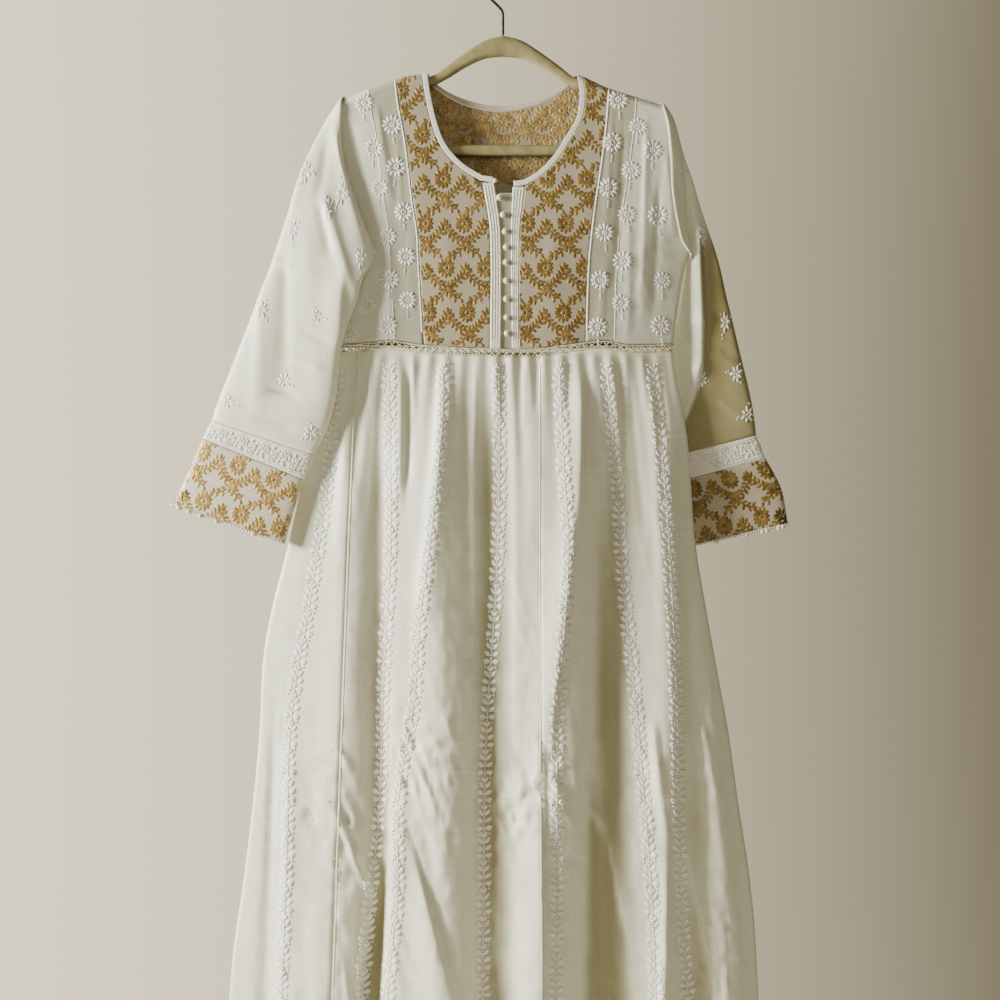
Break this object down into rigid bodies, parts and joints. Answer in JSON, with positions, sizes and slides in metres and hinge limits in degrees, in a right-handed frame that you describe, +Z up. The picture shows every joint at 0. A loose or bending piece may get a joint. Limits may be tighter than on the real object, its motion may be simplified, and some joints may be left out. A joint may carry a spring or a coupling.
{
  "type": "chikankari kurti on a coat hanger",
  "caption": "Long gathered ivory kurti with a brocade yoke and cuffs and white vine embroidery, hanging on a coat hanger.",
  "frame": {"origin": "where the hook bears on the rail: the top of the hook's inside", "axes": "+Z up, against gravity; the front of the garment faces -Y; +X runs across it to the viewer's right"},
  "size_m": [0.742, 0.1089, 1.3483],
  "materials": {
    "cotton": "fine ivory cotton, softly creased",
    "embroidered_border": "ivory cotton covered with white thread embroidery",
    "sheer_cotton": "thin ivory cotton with white embroidered flowers",
    "brocade": "pale silk ground with woven dull gold vines",
    "binding": "cream bias binding",
    "lattice_trim": "openwork of ecru thread",
    "pearl": "pearl lacquer",
    "hanger_plastic": "moulded, satin",
    "hook_wire": "darkened wire"
  },
  "bodies": {
    "root": {"placket_left": "cotton", "placket_right": "cotton", "skirt_front_left": "cotton", "skirt_front_centre": "cotton", "skirt_front_right": "cotton", "skirt_back_left": "cotton", "skirt_back_centre": "cotton", "skirt_back_right": "cotton", "sleeve_left": "cotton", "sleeve_right": "cotton", "sleeve_band_left": "embroidered_border", "sleeve_band_right": "embroidered_border", "front_side_left": "sheer_cotton", "front_side_right": "sheer_cotton", "back_side_left": "sheer_cotton", "back_side_right": "sheer_cotton", "placket_underlay": "sheer_cotton", "front_yoke_left": "brocade", "front_yoke_right": "brocade", "back_yoke": "brocade", "cuff_left": "brocade", "cuff_right": "brocade", "neck_binding_front_left": "binding", "neck_binding_front_right": "binding", "neck_binding_back": "binding", "waist_trim_front": "lattice_trim", "waist_trim_back": "lattice_trim", "pearl_button_1": "pearl", "pearl_button_2": "pearl", "pearl_button_3": "pearl", "pearl_button_4": "pearl", "pearl_button_5": "pearl", "pearl_button_6": "pearl", "pearl_button_7": "pearl", "pearl_button_8": "pearl", "pearl_button_9": "pearl", "pearl_button_10": "pearl", "hanger": "hanger_plastic", "hanger_hook": "hook_wire"}
  },
  "joints": []
}
